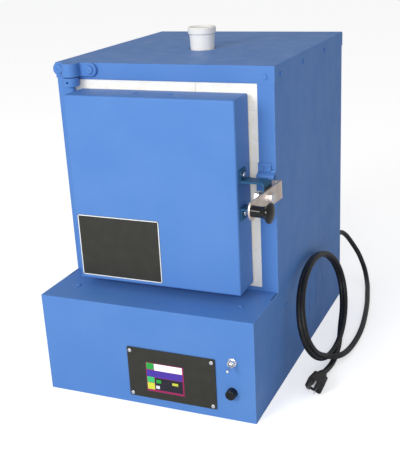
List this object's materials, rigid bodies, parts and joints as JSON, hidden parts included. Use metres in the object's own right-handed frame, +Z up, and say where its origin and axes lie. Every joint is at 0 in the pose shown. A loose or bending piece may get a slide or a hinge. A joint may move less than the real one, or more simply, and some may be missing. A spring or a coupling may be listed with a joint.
{
  "type": "electric kiln",
  "caption": "Front-loading electric kiln with a brick chamber, side-hinged latched door, vent plug, touch-screen controller in its base and a coiled power cord.",
  "frame": {"origin": "on the floor, midway between the case's sides, in the plane of the base's front panel", "axes": "+X to the kiln's right seen from its front, +Y to its back, +Z up"},
  "size_m": [0.4905, 0.6908, 0.6062],
  "materials": {
    "painted_blue_steel": "gloss powder coat",
    "painted_dark_blue": "gloss powder coat",
    "galvanised_steel": "dull zinc",
    "bright_steel": "bright",
    "plated_steel": "satin zinc",
    "firebrick": "matt, porous",
    "ceramic_fibre": "matt",
    "heating_wire": "oxidised",
    "glazed_white_ceramic": "glazed",
    "dark_plate": "satin",
    "screen_glass": "gloss",
    "circuit_board": "solder mask",
    "black_plastic": "gloss",
    "black_rubber": "satin"
  },
  "bodies": {
    "case": {"base_cover": "painted_blue_steel", "left_side_panel": "painted_blue_steel", "right_side_panel": "painted_blue_steel", "rear_panel": "painted_blue_steel", "bottom_plate": "galvanised_steel", "chamber_shelf": "galvanised_steel", "front_frame": "painted_blue_steel", "lid_cover": "painted_blue_steel", "panel_screws": "painted_blue_steel", "floor_brick": "firebrick", "roof_brick_left": "firebrick", "roof_brick_right": "firebrick", "left_wall_brick": "firebrick", "right_wall_brick": "firebrick", "rear_wall_brick": "firebrick", "left_blanket": "ceramic_fibre", "right_blanket": "ceramic_fibre", "top_blanket": "ceramic_fibre", "rear_blanket": "ceramic_fibre", "left_element": "heating_wire", "right_element": "heating_wire", "thermocouple": "glazed_white_ceramic", "upper_bearing": "painted_blue_steel", "bearing_screws": "painted_blue_steel", "lower_bearing": "painted_blue_steel", "keeper_plate": "painted_blue_steel", "keeper_screws": "painted_blue_steel", "controller_plate": "dark_plate", "controller_screws": "bright_steel", "touch_screen": "screen_glass", "controller_board": "circuit_board", "toggle_body": "bright_steel", "toggle_nut": "bright_steel", "fuse_holder": "black_plastic", "relay": "black_plastic", "terminal_block": "black_plastic", "cord_gland": "black_rubber", "power_cord": "black_rubber", "cord_coil": "black_rubber", "plug_lead": "black_rubber", "power_plug": "black_rubber", "plug_pins": "bright_steel"},
    "door": {"door_pan": "painted_blue_steel", "door_brick": "firebrick", "door_brick_screws": "painted_blue_steel", "hinge_shaft": "painted_blue_steel", "set_collars": "painted_blue_steel", "shaft_brackets": "painted_dark_blue", "notice_plate": "dark_plate", "latch_bracket": "painted_dark_blue", "bracket_screws": "bright_steel", "latch_pad": "black_plastic", "latch_bolt": "bright_steel", "latch_nut": "bright_steel", "latch_spring": "bright_steel"},
    "latch": {"latch_lever": "plated_steel", "latch_knob": "black_plastic"},
    "vent": {"vent_plug": "glazed_white_ceramic"},
    "toggle": {"toggle_lever": "bright_steel"},
    "fuse": {"fuse_cap": "black_plastic"}
  },
  "joints": [
    {"name": "door_swing", "type": "hinge", "parent": "case", "child": "door", "pos_m": [-0.16, 0.11, 0.36], "axis": [0, 0, -1], "range_deg": [0, 120]},
    {"name": "latch_turn", "type": "hinge", "parent": "door", "child": "latch", "pos_m": [0.2028, 0.079, 0.3678], "axis": [0.9936, -0.1132, 0], "range_deg": [-50, 6]},
    {"name": "vent_plug_lift", "type": "slide", "parent": "case", "child": "vent", "axis": [0, 0, 1], "range_m": [0, 0.11]},
    {"name": "toggle_flip", "type": "hinge", "parent": "case", "child": "toggle", "pos_m": [0.1585, -0.0065, 0.1092], "axis": [-1, 0, 0], "range_deg": [0, 36]},
    {"name": "fuse_cap_pull", "type": "slide", "parent": "case", "child": "fuse", "axis": [0, -1, 0], "range_m": [0, 0.04]}
  ]
}
